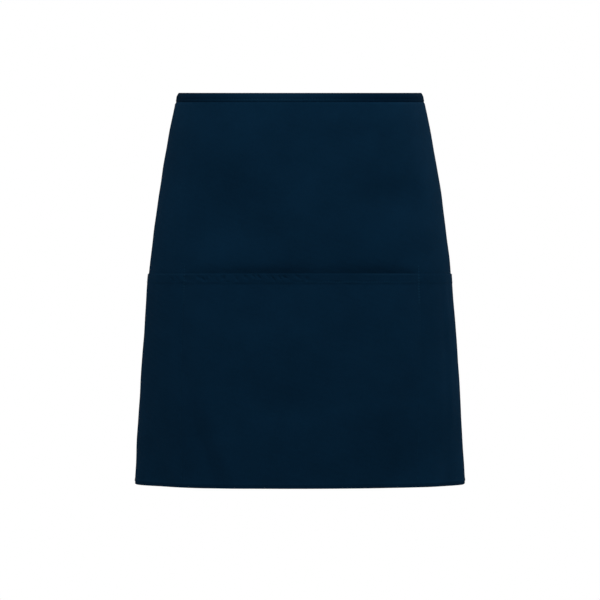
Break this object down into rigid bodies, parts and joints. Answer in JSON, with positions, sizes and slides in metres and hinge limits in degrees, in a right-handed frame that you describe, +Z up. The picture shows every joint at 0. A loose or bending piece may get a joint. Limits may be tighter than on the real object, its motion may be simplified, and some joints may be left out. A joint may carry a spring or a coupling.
{
  "type": "half waist apron",
  "caption": "Short half apron shown as worn, with a narrow bound waistband tied behind and a full-width pouch pocket stitched into compartments over its lower half.",
  "frame": {"origin": "middle of the waist opening, at half the height of the waistband", "axes": "+Z up along the wearer, -Y to the wearer's front, +X to the wearer's left"},
  "size_m": [0.3407, 0.2385, 0.4038],
  "materials": {
    "twill": "matte navy twill",
    "binding": "matte navy twill, folded"
  },
  "bodies": {
    "root": {"skirt_panel": "twill", "pocket_panel": "twill", "waistband": "binding", "tie_left": "binding", "tie_right": "binding", "tie_knot": "binding"}
  },
  "joints": []
}
